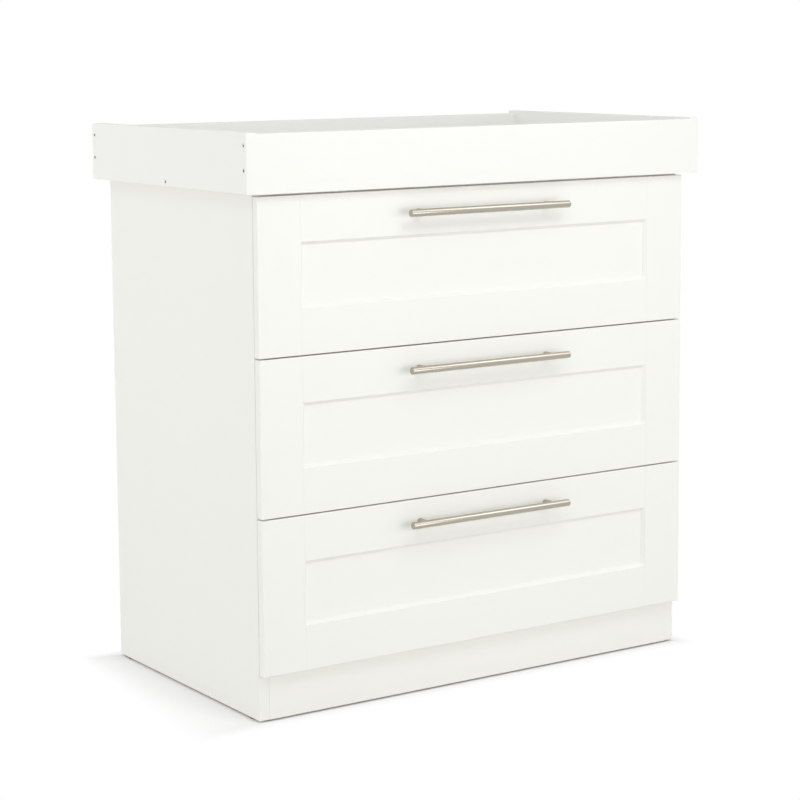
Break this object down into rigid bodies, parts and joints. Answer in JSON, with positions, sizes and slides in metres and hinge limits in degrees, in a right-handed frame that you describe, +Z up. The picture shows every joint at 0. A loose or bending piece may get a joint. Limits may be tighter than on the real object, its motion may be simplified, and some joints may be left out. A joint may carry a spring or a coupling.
{
  "type": "changing dresser",
  "caption": "Free-standing white chest with wide drawers on roller runners, bar handles and a raised-edge changer tray on top.",
  "frame": {"origin": "on the floor under the middle of the outline", "axes": "+X to the right as seen from the front, +Y to the back, +Z up; the drawers open along -Y"},
  "size_m": [0.9, 0.545, 0.932],
  "materials": {
    "white_lacquer": "satin white lacquer on board",
    "tray_lacquer": "satin white lacquer on board",
    "box_laminate": "white laminated board",
    "hardboard": "thin white-faced hardboard",
    "handle_metal": "satin bronze-grey coating",
    "screw_dark": "dark zinc",
    "zinc_fitting": "bright zinc",
    "runner_enamel": "white enamelled steel",
    "roller_nylon": "white nylon",
    "glide_plastic": "grey plastic"
  },
  "bodies": {
    "carcass": {"left_side_panel": "white_lacquer", "right_side_panel": "white_lacquer", "top_panel": "white_lacquer", "base_panel": "white_lacquer", "front_plinth": "white_lacquer", "rear_rail": "white_lacquer", "back_panel": "hardboard", "foot_glides": "glide_plastic", "cabinet_runners": "runner_enamel", "runner_screws": "zinc_fitting", "cam_fixings": "zinc_fitting"},
    "drawer_1": {"drawer_1_front_stiles": "white_lacquer", "drawer_1_front_rails": "white_lacquer", "drawer_1_front_panel": "white_lacquer", "drawer_1_box_left_side": "box_laminate", "drawer_1_box_right_side": "box_laminate", "drawer_1_box_back": "box_laminate", "drawer_1_box_bottom": "hardboard", "drawer_1_handle_bar": "handle_metal", "drawer_1_handle_posts": "handle_metal", "drawer_1_handle_screws": "zinc_fitting", "drawer_1_runners": "runner_enamel", "drawer_1_fixings": "zinc_fitting"},
    "drawer_2": {"drawer_2_front_stiles": "white_lacquer", "drawer_2_front_rails": "white_lacquer", "drawer_2_front_panel": "white_lacquer", "drawer_2_box_left_side": "box_laminate", "drawer_2_box_right_side": "box_laminate", "drawer_2_box_back": "box_laminate", "drawer_2_box_bottom": "hardboard", "drawer_2_handle_bar": "handle_metal", "drawer_2_handle_posts": "handle_metal", "drawer_2_handle_screws": "zinc_fitting", "drawer_2_runners": "runner_enamel", "drawer_2_fixings": "zinc_fitting"},
    "drawer_3": {"drawer_3_front_stiles": "white_lacquer", "drawer_3_front_rails": "white_lacquer", "drawer_3_front_panel": "white_lacquer", "drawer_3_box_left_side": "box_laminate", "drawer_3_box_right_side": "box_laminate", "drawer_3_box_back": "box_laminate", "drawer_3_box_bottom": "hardboard", "drawer_3_handle_bar": "handle_metal", "drawer_3_handle_posts": "handle_metal", "drawer_3_handle_screws": "zinc_fitting", "drawer_3_runners": "runner_enamel", "drawer_3_fixings": "zinc_fitting"},
    "drawer_1_rear_rollers": {"drawer_1_rear_rollers": "roller_nylon"},
    "drawer_1_cabinet_rollers": {"drawer_1_cabinet_rollers": "roller_nylon"},
    "drawer_2_rear_rollers": {"drawer_2_rear_rollers": "roller_nylon"},
    "drawer_2_cabinet_rollers": {"drawer_2_cabinet_rollers": "roller_nylon"},
    "drawer_3_rear_rollers": {"drawer_3_rear_rollers": "roller_nylon"},
    "drawer_3_cabinet_rollers": {"drawer_3_cabinet_rollers": "roller_nylon"},
    "changer_tray": {"tray_left_side": "tray_lacquer", "tray_right_side": "tray_lacquer", "tray_front_rail": "tray_lacquer", "tray_back_rail": "tray_lacquer", "tray_base": "tray_lacquer", "tray_screws": "screw_dark", "tray_locating_pegs": "box_laminate"}
  },
  "joints": [
    {"name": "drawer_1_slide", "type": "slide", "parent": "carcass", "child": "drawer_1", "axis": [0, -1, 0], "range_m": [0, 0.34]},
    {"name": "drawer_1_rear_roller_turn", "type": "hinge", "parent": "drawer_1", "child": "drawer_1_rear_rollers", "pos_m": [0, 0.2085, 0.63043], "axis": [1, 0, 0], "range_deg": [0, 2164.51]},
    {"name": "drawer_1_cabinet_roller_turn", "type": "hinge", "parent": "carcass", "child": "drawer_1_cabinet_rollers", "pos_m": [0, -0.2035, 0.63353], "axis": [1, 0, 0], "range_deg": [0, 2164.51]},
    {"name": "drawer_2_slide", "type": "slide", "parent": "carcass", "child": "drawer_2", "axis": [0, -1, 0], "range_m": [0, 0.34]},
    {"name": "drawer_2_rear_roller_turn", "type": "hinge", "parent": "drawer_2", "child": "drawer_2_rear_rollers", "pos_m": [0, 0.2085, 0.37777], "axis": [1, 0, 0], "range_deg": [0, 2164.51]},
    {"name": "drawer_2_cabinet_roller_turn", "type": "hinge", "parent": "carcass", "child": "drawer_2_cabinet_rollers", "pos_m": [0, -0.2035, 0.38087], "axis": [1, 0, 0], "range_deg": [0, 2164.51]},
    {"name": "drawer_3_slide", "type": "slide", "parent": "carcass", "child": "drawer_3", "axis": [0, -1, 0], "range_m": [0, 0.34]},
    {"name": "drawer_3_rear_roller_turn", "type": "hinge", "parent": "drawer_3", "child": "drawer_3_rear_rollers", "pos_m": [0, 0.2085, 0.1251], "axis": [1, 0, 0], "range_deg": [0, 2164.51]},
    {"name": "drawer_3_cabinet_roller_turn", "type": "hinge", "parent": "carcass", "child": "drawer_3_cabinet_rollers", "pos_m": [0, -0.2035, 0.1282], "axis": [1, 0, 0], "range_deg": [0, 2164.51]},
    {"name": "changer_tray_lift", "type": "slide", "parent": "carcass", "child": "changer_tray", "axis": [0, 0, 1], "range_m": [0, 0.15]}
  ],
  "couplings": [
    {"joint": "drawer_1_rear_roller_turn", "follows": "drawer_1_slide", "rad_per_m": 111.11},
    {"joint": "drawer_1_cabinet_roller_turn", "follows": "drawer_1_slide", "rad_per_m": 111.11},
    {"joint": "drawer_2_rear_roller_turn", "follows": "drawer_2_slide", "rad_per_m": 111.11},
    {"joint": "drawer_2_cabinet_roller_turn", "follows": "drawer_2_slide", "rad_per_m": 111.11},
    {"joint": "drawer_3_rear_roller_turn", "follows": "drawer_3_slide", "rad_per_m": 111.11},
    {"joint": "drawer_3_cabinet_roller_turn", "follows": "drawer_3_slide", "rad_per_m": 111.11}
  ]
}
